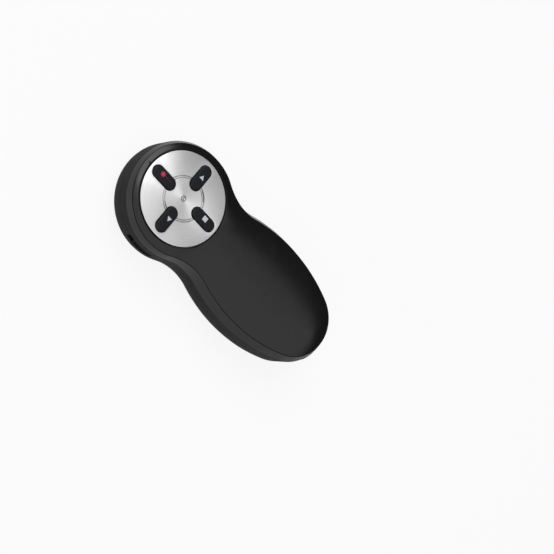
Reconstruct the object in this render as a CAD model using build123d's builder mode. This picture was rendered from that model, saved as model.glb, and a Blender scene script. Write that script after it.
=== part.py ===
from build123d import *
from math import asin, cos, degrees, radians
import os

os.makedirs("parts", exist_ok=True)

# ---------------------------------------------------------------- driving dimensions (mm)
# X runs across the pod, +Y points to the laser end, Z = 0 is the face it lies on.

# plan outline: head, waist, flank and tail arcs, all tangent
head_r = 23.4
head_y = 30.4
waist_r = 22.2
flank_half = 22.1
flank_y = -16.6
tail_r = 18.2
tail_y = -53.8

# side form: crowned top on a long arc, sloping shoulder, rounded belly
face_z = 21.0
spine_r = 860.0
crown_r = 200.0
shoulder_in = 2.0
shoulder_drop = 4.2
belly_r = 9.0
wall = 1.8
parting_z = 13.0

# round face plate, and the ring of shell left round it
disc_y = 31.6
ring_w = 4.9
disc_t = 1.0
disc_gap = 0.6
film_t = 0.15
deck_t = 1.4
rim_w = 0.9
rim_sink = 0.2
groove_r = 8.4
groove_w = 0.8
groove_deep = 0.2
disc_edge = 0.15
dimple_r = 0.9
dimple_deep = 0.3

# four keys on a cross, each held back from the plate's edge
key_len = 11.3
key_w = 4.9
key_rise = 1.1
key_in_along = 1.45
key_in_across = 1.85
key_gap = 0.3
key_edge = 0.45
flange_lip = 0.9
flange_t = 1.0
flange_gap = 0.2
post_r = 1.3
switch_side = 4.6
switch_h = 3.2
stem_r = 1.0
stem_stand = 0.7
stem_deep = 1.0
stem_fit = 0.05
key_travel = 0.5

# circuit board and what stands on it
board_t = 1.6
board_gap = 0.5
board_rear_y = 6.6
chip_back = 2.4
chip_side = 6.0
chip_t = 1.0
radio_side = 4.0
radio_x = 8.5
crystal_len = 5.0
crystal_w = 3.2
crystal_h = 1.3
crystal_x = -7.5
crystal_y = 11.0
capacitor_r = 2.0
capacitor_h = 4.4
capacitor_in = 10.4
capacitor_y = 24.5
led_len = 1.6
led_w = 0.8
led_h = 0.7
led_back = 0.55
pipe_r = 0.35
pipe_out = 1.15
pipe_foot = 1.3
pipe_fit = 0.05
small_gap = 0.2

# screws and their posts
screw_r = 1.0
screw_head_r = 1.7
screw_head_h = 1.3
screw_seat_z = 4.6
screw_len = 12.0
screw_fit = 0.03
post_wall = 1.4
head_screw_in = 6.43
handle_screw_x = 17.0
board_screw_len = 5.0

# slide switch in the left side of the head
slot_y = 29.8
slot_len = 12.4
slot_h = 3.2
knob_len = 9.4
knob_h = 2.8
knob_sink = 0.25
knob_travel = 2.5
knob_deep = 3.3
knob_plate_t = 0.7
knob_plate_h = 4.2
ridge_w = 0.6
ridge_deep = 0.4
ridge_pitch = 1.3
ridge_count = 6
lever_w = 2.0
lever_h = 1.2
lever_len = 1.8
toggle_x = 4.0
toggle_len = 10.0
toggle_h = 3.4

# laser
laser_z = 7.6
barrel_r = 3.2
barrel_len = 16.0
barrel_in = 3.8
barrel_bore_r = 2.3
lens_t = 1.6
lens_inset = 1.0
diode_len = 3.2
diode_flange_r = 2.8
diode_flange_t = 0.8
laser_board_len = 9.0
laser_board_w = 6.0
laser_board_t = 1.0
lead_r = 0.35
lead_x = 1.5
cradle_t = 1.6
cradle_w = 10.0
bore_fit = 0.05
window_r = 2.0
window_t = 0.7
window_in = 1.4
aperture_r = 1.4

# two AAA cells side by side, end for end
cell_r = 5.25
cell_len = 44.5
cell_apart = 10.9
cell_gap = 0.2
nub_r = 1.9
nub_h = 0.8
bay_rear_y = -45.0
spring_room = 4.0
spring_r = 2.3
spring_wire_r = 0.25
spring_pitch = 1.1
contact_t = 0.4
pad_r = 4.25
tab_w = 2.0
tab_len = 4.6
tray_t = 1.0
tray_gap = 0.4
tray_low = 2.2
deck_plate_t = 0.9

# battery door
door_t = 1.2
door_half = 13.5
door_front_y = 4.7
door_rim_z = 8.0
door_gap = 0.2
rail_rear_y = -16.5
rail_len = 10.0
rail_w = 0.9
rail_lip = 1.6
rail_z = 2.6
rail_t = 0.8
grip_count = 4
grip_first = 3.6
grip_pitch = 1.8
grip_w = 0.8
grip_len = 12.0
grip_deep = 0.4

# receiver parked in the tail
receiver_w = 18.3
receiver_h = 6.0
receiver_front_y = -18.5
receiver_gap = 0.15
receiver_wall = 0.6
receiver_edge = 1.0
plug_w = 12.0
plug_h = 4.5
plug_out = 12.0
plug_in = 4.0
plug_wall = 0.3
latch_side = 2.2
latch_x = 3.0
latch_y = 5.2
tongue_h = 1.9
pin_count = 4
pin_pitch = 2.3
pin_w = 1.1
pin_t = 0.2
pin_len = 8.5
receiver_board_t = 1.0
receiver_board_w = 14.0
receiver_board_len = 26.0
sleeve_t = 0.8
sleeve_front_y = -14.0
groove_count = 3
groove_pitch = 3.0

# ---------------------------------------------------------------- levels worked out from them
nose_y = head_y + head_r
disc_r = head_r - ring_w
key_reach_along = disc_r - key_in_along - key_len / 2
key_reach_across = disc_r - key_in_across - key_len / 2
pipe_reach = disc_r + pipe_out
head_screw = (head_r - head_screw_in) * cos(radians(45))
knob_back = head_r - knob_deep
chip_y = disc_y - key_reach_along - switch_side / 2 - chip_back - chip_side / 2
capacitor_x = head_r - capacitor_in
tray_half = cell_apart / 2 + cell_r + tray_gap + tray_t
board_top = parting_z
board_low = board_top - board_t
disc_low = face_z - disc_t
deck_top = disc_low - film_t
deck_low = deck_top - deck_t
flange_top = deck_low - flange_gap
flange_low = flange_top - flange_t
switch_top = board_top + switch_h
stem_top = switch_top + stem_stand
cell_z = door_t + cell_gap + cell_r
bay_front_y = bay_rear_y + cell_len + spring_room
receiver_low = parting_z + receiver_gap
receiver_z = receiver_low + receiver_h / 2
barrel_front_y = nose_y - barrel_in
barrel_rear_y = barrel_front_y - barrel_len
window_seat_y = nose_y - window_in
knob_z = parting_z - slot_h / 2
knob_y = slot_y - slot_len / 2 + small_gap + knob_len / 2
knob_turn = 180 + degrees(asin((head_y - knob_y) / head_r))
ridge_step = degrees(ridge_pitch / head_r)
tall = face_z + wall + belly_r

key_turns = {"laser": 90, "next": 0, "previous": 180, "blank": 270}
head_screws = [(-head_screw, disc_y + head_screw), (head_screw, disc_y + head_screw)]
handle_screws = [(-handle_screw_x, flank_y), (handle_screw_x, flank_y)]
board_screws = [(-head_screw, disc_y - head_screw), (head_screw, disc_y - head_screw)]


# ---------------------------------------------------------------- the pod's form
def body_outline(inset):
    """Plan outline, inset all round: tail, flank, waist and head arcs, mirrored."""
    reach = flank_y - tail_y - tail_r
    flank_r = (flank_half**2 + reach**2 - tail_r**2) / (2 * (flank_half - tail_r))
    tail_c = Vector(0, tail_y + tail_r)
    flank_c = Vector(flank_half - flank_r, flank_y)
    head_c = Vector(0, head_y)
    span = head_c - flank_c
    near = flank_r + waist_r
    far = head_r + waist_r
    along = (span.length**2 + near**2 - far**2) / (2 * span.length)
    aside = (near**2 - along**2) ** 0.5
    across = span.normalized().rotate(Axis.Z, -90)
    waist_c = flank_c + span.normalized() * along + across * aside
    tail_end = flank_c + (tail_c - flank_c).normalized() * (flank_r - inset)
    flank_end = flank_c + (waist_c - flank_c).normalized() * (flank_r - inset)
    waist_end = head_c + (waist_c - head_c).normalized() * (head_r - inset)
    with BuildSketch() as outline:
        with BuildLine():
            tail = TangentArc((0, tail_y + inset), tail_end, tangent=(1, 0))
            flank = TangentArc(tail @ 1, flank_end, tangent=tail % 1)
            waist = TangentArc(flank @ 1, waist_end, tangent=flank % 1)
            TangentArc(waist @ 1, (0, nose_y - inset), tangent=waist % 1)
            mirror(about=Plane.YZ)
        make_face()
    return outline.sketch


def crown_block(inset):
    """All that lies under the top surface: a crowned section turned on the long spine arc."""
    lean = 8
    half = 2 * head_r
    pivot = Vector(0, disc_y, face_z + spine_r)
    rim = -spine_r - inset - half**2 / (2 * crown_r)
    with BuildPart() as block:
        with BuildSketch(Plane(pivot, x_dir=(1, 0, 0), z_dir=(0, -1, 0)).rotated((-lean, 0, 0))):
            with BuildLine():
                top = ThreePointArc((-half, rim), (0, -spine_r - inset), (half, rim))
                Polyline(top @ 1, (half, -spine_r - 2 * tall), (-half, -spine_r - 2 * tall), top @ 0)
            make_face()
        revolve(axis=Axis(pivot, (1, 0, 0)), revolution_arc=2 * lean)
    return block.part


def body_form(inset):
    """The whole closed pod, inset all round."""
    with BuildPart() as form:
        with BuildSketch(Plane.XY.offset(inset)):
            add(body_outline(inset))
        extrude(amount=tall)
        fillet(form.edges().group_by(Axis.Z)[0], belly_r - inset)
        add(crown_block(inset), mode=Mode.INTERSECT)
        top = form.faces().sort_by(Axis.Z)[-1]
        chamfer(top.edges(), length=shoulder_in, length2=shoulder_drop, reference=top)
    return form.part


def key_plane(turn, height):
    """Plane over a key, its X along the key and away from the disc's centre."""
    out = Vector(1, 0).rotate(Axis.Z, turn)
    middle = (key_reach_across * out.X, disc_y + key_reach_along * out.Y, height)
    return Plane(middle, x_dir=out, z_dir=(0, 0, 1))


outer_form = body_form(0)
inner_form = body_form(wall)
door_inner_form = body_form(door_t)
tray_form = body_form(door_t + small_gap)

# ---------------------------------------------------------------- face plate and its film
with BuildPart() as face_disc:
    with BuildSketch(Plane.XY.offset(disc_low)):
        with Locations((0, disc_y)):
            Circle(disc_r)
    extrude(amount=disc_t)
    chamfer(face_disc.edges().group_by(Axis.Z)[-1], disc_edge)
    with BuildSketch(Plane.XY.offset(face_z)):
        with Locations((0, disc_y)):
            Circle(groove_r + groove_w / 2)
            Circle(groove_r - groove_w / 2, mode=Mode.SUBTRACT)
    extrude(amount=-groove_deep, mode=Mode.SUBTRACT)
    with BuildSketch(Plane.XY.offset(face_z)):
        with Locations((0, disc_y)):
            Circle(dimple_r)
    extrude(amount=-dimple_deep, mode=Mode.SUBTRACT)
    for turn in key_turns.values():
        with BuildSketch(key_plane(turn, disc_low)):
            SlotOverall(key_len + 2 * key_gap, key_w + 2 * key_gap)
        extrude(amount=disc_t, mode=Mode.SUBTRACT)
face_disc.part.label = "face_disc"
export_step(face_disc.part, "parts/face_disc.step")

with BuildPart() as disc_film:
    with BuildSketch(Plane.XY.offset(deck_top)):
        with Locations((0, disc_y)):
            Circle(disc_r - disc_gap)
    extrude(amount=film_t)
    for turn in key_turns.values():
        with BuildSketch(key_plane(turn, deck_top)):
            SlotOverall(key_len + 4 * key_gap, key_w + 4 * key_gap)
        extrude(amount=film_t, mode=Mode.SUBTRACT)
disc_film.part.label = "disc_film"
export_step(disc_film.part, "parts/disc_film.step")

# ---------------------------------------------------------------- keys and their switch stems
for key, turn in key_turns.items():
    with BuildPart() as button:
        with BuildSketch(key_plane(turn, flange_low)):
            SlotOverall(key_len + 2 * flange_lip, key_w + 2 * flange_lip)
        extrude(amount=flange_t)
        with BuildSketch(key_plane(turn, flange_top)):
            SlotOverall(key_len, key_w)
        extrude(amount=face_z + key_rise - flange_top)
        fillet(button.edges().group_by(Axis.Z)[-1], key_edge)
        with BuildSketch(key_plane(turn, stem_top)):
            Circle(post_r)
        extrude(amount=flange_low - stem_top)
    button.part.label = f"{key}_button"
    export_step(button.part, f"parts/{key}_button.step")

    with BuildPart() as stem:
        with BuildSketch(key_plane(turn, switch_top - stem_deep)):
            Circle(stem_r)
        extrude(amount=stem_deep + stem_stand)
    stem.part.label = f"{key}_stem"
    export_step(stem.part, f"parts/{key}_stem.step")

with BuildPart() as key_switches:
    for turn in key_turns.values():
        with BuildSketch(key_plane(turn, board_top)):
            Rectangle(switch_side, switch_side)
        extrude(amount=switch_h)
        with BuildSketch(key_plane(turn, switch_top)):
            Circle(stem_r + stem_fit)
        extrude(amount=-stem_deep - key_travel - small_gap, mode=Mode.SUBTRACT)
key_switches.part.label = "key_switches"
export_step(key_switches.part, "parts/key_switches.step")

# ---------------------------------------------------------------- main board
with BuildPart() as main_board:
    with BuildSketch(Plane.XY.offset(board_low)):
        add(body_outline(wall + board_gap))
        with Locations((0, board_rear_y)):
            Rectangle(4 * head_r, 4 * head_r, align=(Align.CENTER, Align.MAX), mode=Mode.SUBTRACT)
        with Locations((small_gap - knob_back + knob_plate_t, slot_y)):
            Rectangle(head_r, slot_len + knob_travel, align=(Align.MAX, Align.CENTER), mode=Mode.SUBTRACT)
        with Locations(head_screws + board_screws):
            Circle(screw_r + small_gap, mode=Mode.SUBTRACT)
    extrude(amount=board_t)
main_board.part.label = "main_board"
export_step(main_board.part, "parts/main_board.step")

with BuildPart() as control_chips:
    with BuildSketch(Plane.XY.offset(board_top)):
        with Locations((0, chip_y)):
            Rectangle(chip_side, chip_side)
        with Locations((radio_x, chip_y)):
            Rectangle(radio_side, radio_side)
    extrude(amount=chip_t)
control_chips.part.label = "control_chips"
export_step(control_chips.part, "parts/control_chips.step")

with BuildPart() as crystal:
    with BuildSketch(Plane.XY.offset(board_top)):
        with Locations((crystal_x, crystal_y)):
            SlotOverall(crystal_len, crystal_w)
    extrude(amount=crystal_h)
crystal.part.label = "crystal"
export_step(crystal.part, "parts/crystal.step")

with BuildPart() as capacitor:
    with BuildSketch(Plane.XY.offset(board_top)):
        with Locations((capacitor_x, capacitor_y)):
            Circle(capacitor_r)
    extrude(amount=capacitor_h)
    fillet(capacitor.edges().group_by(Axis.Z)[-1], film_t)
capacitor.part.label = "capacitor"
export_step(capacitor.part, "parts/capacitor.step")

with BuildPart() as status_led:
    with BuildSketch(Plane.XY.offset(board_top)):
        with Locations((0, disc_y + pipe_reach - led_back)):
            Rectangle(led_len, led_w)
    extrude(amount=led_h)
status_led.part.label = "status_led"
export_step(status_led.part, "parts/status_led.step")

with BuildPart() as light_pipe:
    with BuildSketch(Plane.XY.offset(board_top + led_h + small_gap)):
        with Locations((0, disc_y + pipe_reach)):
            Circle(pipe_r)
    extrude(amount=tall)
    add(outer_form, mode=Mode.INTERSECT)
    with BuildSketch(Plane.XY.offset(board_top + led_h + small_gap)):
        with Locations((0, disc_y + pipe_reach + pipe_r)):
            Rectangle(led_len, pipe_foot + pipe_r, align=(Align.CENTER, Align.MAX))
    extrude(amount=pipe_foot)
light_pipe.part.label = "light_pipe"
export_step(light_pipe.part, "parts/light_pipe.step")

# ---------------------------------------------------------------- slide switch
with BuildPart() as power_knob:
    with BuildSketch(Plane.XY.offset(knob_z - knob_h / 2)):
        with Locations((0, head_y)):
            Circle(head_r - knob_sink)
        with Locations((-knob_back, knob_y)):
            Rectangle(head_r, knob_len, align=(Align.MAX, Align.CENTER), mode=Mode.INTERSECT)
    extrude(amount=knob_h)
    with BuildSketch(Plane((0, head_y, knob_z - knob_h / 2))):
        with PolarLocations(head_r - knob_sink, ridge_count,
                            start_angle=knob_turn - ridge_step * (ridge_count - 1) / 2,
                            angular_range=ridge_step * (ridge_count - 1), endpoint=True):
            Rectangle(2 * ridge_deep, ridge_w)
    extrude(amount=knob_h, mode=Mode.SUBTRACT)
    with BuildSketch(Plane.XY.offset(knob_z - knob_plate_h / 2)):
        with Locations((-knob_back, knob_y)):
            Rectangle(knob_plate_t, knob_len + slot_h / 2, align=(Align.MIN, Align.CENTER))
    extrude(amount=knob_plate_h)
    with BuildSketch(Plane.XY.offset(knob_z - knob_plate_h / 2)):
        with Locations((knob_plate_t - knob_back, knob_y)):
            Rectangle(lever_len, lever_w, align=(Align.MIN, Align.CENTER))
    extrude(amount=lever_h)
power_knob.part.label = "power_knob"
export_step(power_knob.part, "parts/power_knob.step")

with BuildPart() as power_switch:
    with BuildSketch(Plane.XY.offset(board_low)):
        with Locations((knob_plate_t + small_gap - knob_back, knob_y + knob_travel / 2)):
            Rectangle(toggle_x, toggle_len, align=(Align.MIN, Align.CENTER))
    extrude(amount=-toggle_h)
    with BuildSketch(Plane.XY.offset(knob_z - knob_plate_h / 2 - small_gap)):
        with Locations((knob_plate_t - knob_back, knob_y + knob_travel / 2)):
            Rectangle(lever_len + small_gap, lever_w + knob_travel + 2 * small_gap,
                      align=(Align.MIN, Align.CENTER))
    extrude(amount=lever_h + 2 * small_gap, mode=Mode.SUBTRACT)
power_switch.part.label = "power_switch"
export_step(power_switch.part, "parts/power_switch.step")

# ---------------------------------------------------------------- laser
laser_back = Plane((0, barrel_rear_y, laser_z), x_dir=(1, 0, 0), z_dir=(0, 1, 0))
with BuildPart() as laser_barrel:
    with BuildSketch(laser_back):
        Circle(barrel_r)
        Circle(barrel_bore_r, mode=Mode.SUBTRACT)
    extrude(amount=barrel_len)
    chamfer(laser_barrel.edges().group_by(Axis.Y)[-1], small_gap)
laser_barrel.part.label = "laser_barrel"
export_step(laser_barrel.part, "parts/laser_barrel.step")

with BuildPart() as laser_lens:
    with BuildSketch(laser_back.offset(barrel_len - lens_inset)):
        Circle(barrel_bore_r - bore_fit)
    extrude(amount=-lens_t)
laser_lens.part.label = "laser_lens"
export_step(laser_lens.part, "parts/laser_lens.step")

with BuildPart() as laser_diode:
    with BuildSketch(laser_back):
        Circle(diode_flange_r)
    extrude(amount=-diode_flange_t)
    with BuildSketch(laser_back):
        Circle(barrel_bore_r - bore_fit)
    extrude(amount=diode_len)
laser_diode.part.label = "laser_diode"
export_step(laser_diode.part, "parts/laser_diode.step")

with BuildPart() as laser_board:
    with BuildSketch(Plane.XY.offset(laser_z - laser_board_t / 2)):
        with Locations((0, barrel_rear_y - diode_flange_t)):
            Rectangle(laser_board_w, laser_board_len, align=(Align.CENTER, Align.MAX))
    extrude(amount=laser_board_t)
laser_board.part.label = "laser_board"
export_step(laser_board.part, "parts/laser_board.step")

with BuildPart() as laser_leads:
    with BuildSketch(Plane.XY.offset(laser_z + laser_board_t / 2)):
        with Locations((-lead_x, barrel_rear_y - laser_board_len), (lead_x, barrel_rear_y - laser_board_len)):
            Circle(lead_r)
    extrude(amount=board_low - laser_z - laser_board_t / 2)
laser_leads.part.label = "laser_leads"
export_step(laser_leads.part, "parts/laser_leads.step")

with BuildPart() as laser_window:
    with BuildSketch(laser_back.offset(window_seat_y - barrel_rear_y)):
        Circle(window_r)
    extrude(amount=window_t)
laser_window.part.label = "laser_window"
export_step(laser_window.part, "parts/laser_window.step")

# ---------------------------------------------------------------- cells and contacts
# cell 0 points forward, cell 1 to the rear, so the pair is in series across the tail plate
cell_x = cell_apart / 2
cells = [(-cell_x, bay_front_y, -1), (cell_x, bay_rear_y, 1)]


def cell_plane(x, y, way):
    """Plane on a cell's axis, its Z along the cell, away from the terminal."""
    return Plane((x, y, cell_z), x_dir=(1, 0, 0), z_dir=(0, way, 0))


with BuildPart() as battery_cells:
    for x, y, way in cells:
        with BuildSketch(cell_plane(x, y, way).offset(nub_h)):
            Circle(cell_r)
        extrude(amount=cell_len - nub_h)
    fillet(battery_cells.edges(), small_gap)
battery_cells.part.label = "battery_cells"
export_step(battery_cells.part, "parts/battery_cells.step")

with BuildPart() as cell_terminals:
    for x, y, way in cells:
        with BuildSketch(cell_plane(x, y, way)):
            Circle(nub_r)
        extrude(amount=nub_h)
cell_terminals.part.label = "cell_terminals"
export_step(cell_terminals.part, "parts/cell_terminals.step")

with BuildPart() as contact_springs:
    for x, y, way in cells:
        coil_start = cell_plane(x, y, way).offset(cell_len + spring_wire_r)
        with BuildLine() as coil:
            Helix(spring_pitch, spring_room - 2 * spring_wire_r, spring_r,
                  center=coil_start.origin, direction=coil_start.z_dir)
        with BuildSketch(Plane(coil.line @ 0, z_dir=coil.line % 0)):
            Circle(spring_wire_r)
        sweep(path=coil.line)
contact_springs.part.label = "contact_springs"
export_step(contact_springs.part, "parts/contact_springs.step")

with BuildPart() as tail_contact:
    with BuildSketch(cell_plane(0, bay_rear_y, -1)):
        SlotOverall(cell_apart + 2 * pad_r, 2 * pad_r)
    extrude(amount=contact_t)
tail_contact.part.label = "tail_contact"
export_step(tail_contact.part, "parts/tail_contact.step")

with BuildPart() as front_contacts:
    with BuildSketch(Plane((0, bay_front_y, cell_z), x_dir=(-1, 0, 0), z_dir=(0, 1, 0))):
        with Locations((-cell_x, 0), (cell_x, 0)):
            Circle(pad_r)
        with Locations((-cell_x, board_low - cell_z), (cell_x, board_low - cell_z)):
            Rectangle(tab_w, pad_r, align=(Align.CENTER, Align.MAX))
    extrude(amount=contact_t)
    with BuildSketch(Plane.XY.offset(board_low - contact_t)):
        with Locations((-cell_x, bay_front_y), (cell_x, bay_front_y)):
            Rectangle(tab_w, tab_len, align=(Align.CENTER, Align.MIN))
    extrude(amount=contact_t)
front_contacts.part.label = "front_contacts"
export_step(front_contacts.part, "parts/front_contacts.step")

# ---------------------------------------------------------------- receiver
receiver_mid = Plane((0, receiver_front_y, receiver_z), x_dir=(-1, 0, 0), z_dir=(0, 1, 0))
with BuildPart() as receiver_case:
    with BuildSketch(receiver_mid):
        RectangleRounded(receiver_w, receiver_h, receiver_edge)
    extrude(amount=tail_y - receiver_front_y)
    add(outer_form, mode=Mode.INTERSECT)
    with BuildSketch(receiver_mid.offset(-receiver_wall)):
        Rectangle(receiver_w - 2 * receiver_wall, receiver_h - 2 * receiver_wall)
    extrude(amount=-receiver_board_len - plug_in, mode=Mode.SUBTRACT)
    with BuildSketch(receiver_mid):
        Rectangle(plug_w + small_gap, plug_h + small_gap)
    extrude(amount=-receiver_wall, mode=Mode.SUBTRACT)
    with BuildSketch(Plane.XY.offset(receiver_low)):
        for step in range(groove_count):
            with Locations(((step - (groove_count - 1) / 2) * groove_pitch, tail_y)):
                Rectangle(grip_w, 2 * grip_deep)
    extrude(amount=receiver_h, mode=Mode.SUBTRACT)
receiver_case.part.label = "receiver_case"
export_step(receiver_case.part, "parts/receiver_case.step")

with BuildPart() as usb_shell:
    with BuildSketch(receiver_mid.offset(-plug_in)):
        RectangleRounded(plug_w, plug_h, plug_wall)
        Rectangle(plug_w - 2 * plug_wall, plug_h - 2 * plug_wall, mode=Mode.SUBTRACT)
    extrude(amount=plug_in + plug_out)
    with BuildSketch(Plane.XY.offset(receiver_z - plug_h / 2)):
        with Locations((-latch_x, receiver_front_y + latch_y), (latch_x, receiver_front_y + latch_y)):
            Rectangle(latch_side, latch_side)
    extrude(amount=plug_h, mode=Mode.SUBTRACT)
usb_shell.part.label = "usb_shell"
export_step(usb_shell.part, "parts/usb_shell.step")

tongue_top = plug_h / 2 - plug_wall
tongue_low = tongue_top - tongue_h
with BuildPart() as usb_tongue:
    with BuildSketch(receiver_mid.offset(-plug_in)):
        with Locations((0, tongue_top)):
            Rectangle(plug_w - 2 * plug_wall, tongue_h, align=(Align.CENTER, Align.MAX))
    extrude(amount=plug_in + plug_out - small_gap)
usb_tongue.part.label = "usb_tongue"
export_step(usb_tongue.part, "parts/usb_tongue.step")

with BuildPart() as usb_contacts:
    with BuildSketch(receiver_mid.offset(plug_out - small_gap - pin_len)):
        for step in range(pin_count):
            with Locations(((step - (pin_count - 1) / 2) * pin_pitch, tongue_low)):
                Rectangle(pin_w, pin_t, align=(Align.CENTER, Align.MAX))
    extrude(amount=pin_len)
usb_contacts.part.label = "usb_contacts"
export_step(usb_contacts.part, "parts/usb_contacts.step")

with BuildPart() as receiver_board:
    with BuildSketch(receiver_mid.offset(-plug_in)):
        with Locations((0, tongue_low)):
            Rectangle(receiver_board_w, receiver_board_t, align=(Align.CENTER, Align.MIN))
    extrude(amount=-receiver_board_len + receiver_wall)
    with BuildSketch(receiver_mid.offset(-plug_in - receiver_board_len / 2)):
        with Locations((0, tongue_low)):
            Rectangle(chip_side, chip_t, align=(Align.CENTER, Align.MAX))
    extrude(amount=chip_side)
receiver_board.part.label = "receiver_board"
export_step(receiver_board.part, "parts/receiver_board.step")

sleeve_half = receiver_w / 2 + receiver_gap + sleeve_t
with BuildPart() as receiver_sleeve:
    with BuildSketch(Plane((0, sleeve_front_y, parting_z), x_dir=(-1, 0, 0), z_dir=(0, 1, 0))):
        Rectangle(2 * sleeve_half, receiver_h + 2 * receiver_gap + sleeve_t, align=(Align.CENTER, Align.MIN))
        Rectangle(receiver_w + 2 * receiver_gap, receiver_h + 2 * receiver_gap,
                  align=(Align.CENTER, Align.MIN), mode=Mode.SUBTRACT)
    extrude(amount=tail_y - sleeve_front_y)
    add(body_form(wall + small_gap), mode=Mode.INTERSECT)
receiver_sleeve.part.label = "receiver_sleeve"
export_step(receiver_sleeve.part, "parts/receiver_sleeve.step")

# ---------------------------------------------------------------- battery door
with BuildPart() as battery_door:
    add(outer_form)
    add(door_inner_form, mode=Mode.SUBTRACT)
    with BuildSketch():
        with Locations((0, door_front_y)):
            Rectangle(2 * door_half, 4 * head_r, align=(Align.CENTER, Align.MAX))
    extrude(amount=door_rim_z, mode=Mode.INTERSECT)
    for side in (-1, 1):
        with BuildSketch(Plane.XY.offset(door_t)):
            with Locations((side * (door_half - rail_w / 2), rail_rear_y)):
                Rectangle(rail_w, rail_len, align=(Align.CENTER, Align.MIN))
        extrude(amount=rail_z + rail_t - door_t)
        with BuildSketch(Plane.XY.offset(rail_z)):
            with Locations((side * (door_half - rail_w + rail_lip / 2), rail_rear_y)):
                Rectangle(rail_lip, rail_len, align=(Align.CENTER, Align.MIN))
        extrude(amount=rail_t)
    with BuildSketch():
        for step in range(grip_count):
            with Locations((0, door_front_y - grip_first - step * grip_pitch)):
                SlotOverall(grip_len, grip_w)
    extrude(amount=grip_deep, mode=Mode.SUBTRACT)
battery_door.part.label = "battery_door"
export_step(battery_door.part, "parts/battery_door.step")

# ---------------------------------------------------------------- screws
with BuildPart() as case_screws:
    with BuildSketch(Plane.XY.offset(screw_seat_z)):
        with Locations(head_screws + handle_screws):
            Circle(screw_head_r)
    extrude(amount=-screw_head_h)
    with BuildSketch(Plane.XY.offset(screw_seat_z)):
        with Locations(head_screws + handle_screws):
            Circle(screw_r)
    extrude(amount=screw_len)
case_screws.part.label = "case_screws"
export_step(case_screws.part, "parts/case_screws.step")

with BuildPart() as board_screw_pair:
    with BuildSketch(Plane.XY.offset(board_top)):
        with Locations(board_screws):
            Circle(screw_head_r)
    extrude(amount=screw_head_h)
    with BuildSketch(Plane.XY.offset(board_top)):
        with Locations(board_screws):
            Circle(screw_r)
    extrude(amount=-board_screw_len)
board_screw_pair.part.label = "board_screws"
export_step(board_screw_pair.part, "parts/board_screws.step")

# ---------------------------------------------------------------- bottom shell
with BuildPart() as lower_skin:
    add(outer_form)
    add(inner_form, mode=Mode.SUBTRACT)
    split(bisect_by=Plane.XY.offset(parting_z), keep=Keep.BOTTOM)
    with BuildSketch():
        with Locations((0, door_front_y + door_gap)):
            Rectangle(2 * (door_half + door_gap), 4 * head_r, align=(Align.CENTER, Align.MAX))
    extrude(amount=door_rim_z + door_gap, mode=Mode.SUBTRACT)

tray_rear_y = bay_rear_y - contact_t
tray_front_y = bay_front_y + contact_t
with BuildPart() as bottom_shell:
    # cell tray: four walls and the plate over the cells
    with BuildSketch(Plane.XY.offset(tray_low)):
        with Locations((0, tray_rear_y - tray_t)):
            Rectangle(2 * tray_half, tray_front_y - tray_rear_y + 2 * tray_t, align=(Align.CENTER, Align.MIN))
        with Locations((0, tray_rear_y)):
            Rectangle(2 * (tray_half - tray_t), tray_front_y - tray_rear_y,
                      align=(Align.CENTER, Align.MIN), mode=Mode.SUBTRACT)
    extrude(amount=parting_z - tray_low)
    with BuildSketch(Plane.XY.offset(parting_z)):
        with Locations((0, tray_front_y + tray_t)):
            Rectangle(4 * head_r, 4 * head_r, align=(Align.CENTER, Align.MAX))
    extrude(amount=-deck_plate_t)
    # posts for the screws, cradle for the laser
    with BuildSketch():
        with Locations(head_screws + board_screws):
            Circle(screw_r + post_wall)
    extrude(amount=board_low)
    with BuildSketch():
        with Locations(handle_screws):
            Circle(screw_r + post_wall)
    extrude(amount=parting_z)
    with BuildSketch():
        with Locations((0, barrel_front_y - barrel_len / 4), (0, barrel_rear_y + barrel_len / 4)):
            Rectangle(cradle_w, cradle_t)
    extrude(amount=laser_z)
    with BuildSketch(laser_back):
        Circle(barrel_r + bore_fit)
    extrude(amount=barrel_len, mode=Mode.SUBTRACT)
    add(tray_form, mode=Mode.INTERSECT)
    add(lower_skin.part)
    # screw holes: counterbored from below for the case, blind from above for the board
    with BuildSketch(Plane.XY.offset(screw_seat_z)):
        with Locations(head_screws + handle_screws):
            Circle(screw_head_r + small_gap / 2)
    extrude(amount=-screw_seat_z, mode=Mode.SUBTRACT)
    with BuildSketch(Plane.XY.offset(screw_seat_z)):
        with Locations(head_screws + handle_screws):
            Circle(screw_r + small_gap)
    extrude(amount=parting_z, mode=Mode.SUBTRACT)
    with BuildSketch(Plane.XY.offset(board_low)):
        with Locations(board_screws):
            Circle(screw_r + screw_fit)
    extrude(amount=-board_screw_len, mode=Mode.SUBTRACT)
    # laser aperture and window seat
    with BuildSketch(laser_back):
        Circle(aperture_r)
    extrude(amount=nose_y, mode=Mode.SUBTRACT)
    with BuildSketch(laser_back.offset(window_seat_y - barrel_rear_y)):
        Circle(window_r + bore_fit)
    extrude(amount=nose_y, mode=Mode.SUBTRACT)
    # slot of the slide switch, and the ways through for the front contacts
    with BuildSketch(Plane.XY.offset(parting_z)):
        with Locations((-head_r, slot_y)):
            Rectangle(2 * (head_r - knob_back), slot_len)
    extrude(amount=-slot_h, mode=Mode.SUBTRACT)
    with BuildSketch(Plane.XY.offset(board_low + small_gap)):
        with Locations((-cell_x, bay_front_y), (cell_x, bay_front_y)):
            Rectangle(tab_w + 2 * small_gap, tab_len, align=(Align.CENTER, Align.MIN))
    extrude(amount=-contact_t - 2 * small_gap, mode=Mode.SUBTRACT)
bottom_shell.part.label = "bottom_shell"
export_step(bottom_shell.part, "parts/bottom_shell.step")

# ---------------------------------------------------------------- top shell
recess_r = disc_r + disc_gap
with BuildPart() as upper_skin:
    add(outer_form)
    add(inner_form, mode=Mode.SUBTRACT)
    split(bisect_by=Plane.XY.offset(parting_z), keep=Keep.TOP)

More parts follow.
